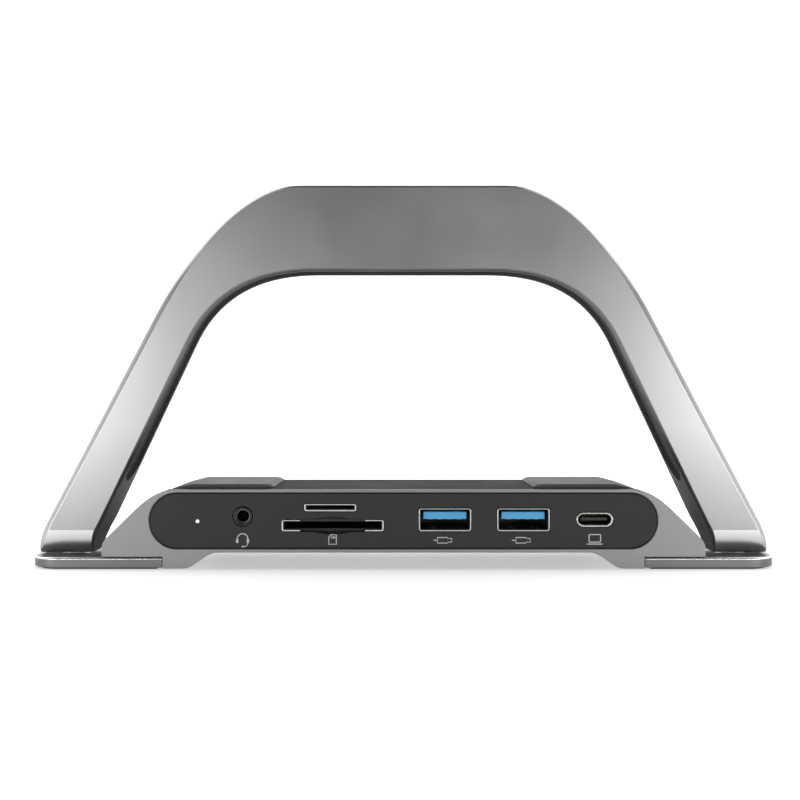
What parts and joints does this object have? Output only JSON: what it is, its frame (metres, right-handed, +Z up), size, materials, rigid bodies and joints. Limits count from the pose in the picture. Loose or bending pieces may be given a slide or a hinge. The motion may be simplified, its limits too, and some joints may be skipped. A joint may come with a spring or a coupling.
{
  "type": "laptop docking station",
  "caption": "Low USB docking hub held between two metal feet, with a wide trapezoid metal arch hinged at the feet that folds back flat and props up a laptop.",
  "frame": {"origin": "middle of the object's bounding box at the height of the desk", "axes": "+X to the right seen from the port panel, +Y away from the port panel, +Z up"},
  "size_m": [0.189, 0.062, 0.0978],
  "materials": {
    "satin_aluminium": "bead-blasted satin",
    "graphite_casing": "fine matt grain",
    "charcoal_panel": "smooth satin",
    "black_rubber": "matt",
    "grey_rubber": "matt, fine grain",
    "black_plastic": "satin",
    "blue_plastic": "smooth",
    "board_green": "solder mask",
    "white_plastic": "clear diffuser, printed marks",
    "socket_steel": "bright nickel plate",
    "fitting_steel": "zinc plate"
  },
  "bodies": {
    "hub": {"front_frame": "satin_aluminium", "base_plate_left": "satin_aluminium", "base_plate_right": "satin_aluminium", "heat_spreader": "satin_aluminium", "top_cover": "graphite_casing", "bottom_cover": "graphite_casing", "front_panel": "charcoal_panel", "rear_panel": "charcoal_panel", "foot_pad_left": "black_rubber", "foot_pad_right": "black_rubber", "top_pad_left": "grey_rubber", "top_pad_right": "grey_rubber", "thermal_pad": "grey_rubber", "audio_jack": "black_plastic", "usb_c_host_tongue": "black_plastic", "usb_c_power_tongue": "black_plastic", "video_port_tongue": "black_plastic", "hub_controller_chip": "black_plastic", "video_controller_chip": "black_plastic", "usb_a_1_tongue": "blue_plastic", "usb_a_2_tongue": "blue_plastic", "circuit_board": "board_green", "card_reader_board": "board_green", "led_light_pipe": "white_plastic", "usb_a_1_shell": "socket_steel", "usb_a_2_shell": "socket_steel", "usb_c_host_shell": "socket_steel", "usb_c_power_shell": "socket_steel", "video_port_shell": "socket_steel", "network_port": "socket_steel", "sd_card_socket": "socket_steel", "microsd_card_socket": "socket_steel", "hinge_bracket_left": "fitting_steel", "hinge_bracket_right": "fitting_steel", "hinge_screw_left_1": "fitting_steel", "hinge_screw_left_2": "fitting_steel", "hinge_screw_right_1": "fitting_steel", "hinge_screw_right_2": "fitting_steel", "plate_screw_left_1": "fitting_steel", "plate_screw_left_2": "fitting_steel", "plate_screw_right_1": "fitting_steel", "plate_screw_right_2": "fitting_steel", "case_screw_1": "fitting_steel", "case_screw_2": "fitting_steel", "case_screw_3": "fitting_steel", "case_screw_4": "fitting_steel"},
    "arch": {"arch_frame": "satin_aluminium", "arch_liner": "black_rubber", "hinge_cap_left": "satin_aluminium", "hinge_cap_right": "satin_aluminium", "hinge_pin_left": "fitting_steel", "hinge_pin_right": "fitting_steel", "friction_washer_left_inner": "fitting_steel", "friction_washer_left_outer": "fitting_steel", "friction_washer_right_inner": "fitting_steel", "friction_washer_right_outer": "fitting_steel"}
  },
  "joints": [
    {"name": "arch_fold", "type": "hinge", "parent": "hub", "child": "arch", "pos_m": [0, -0.017, 0.012], "axis": [-1, 0, 0], "range_deg": [0, 94]}
  ]
}
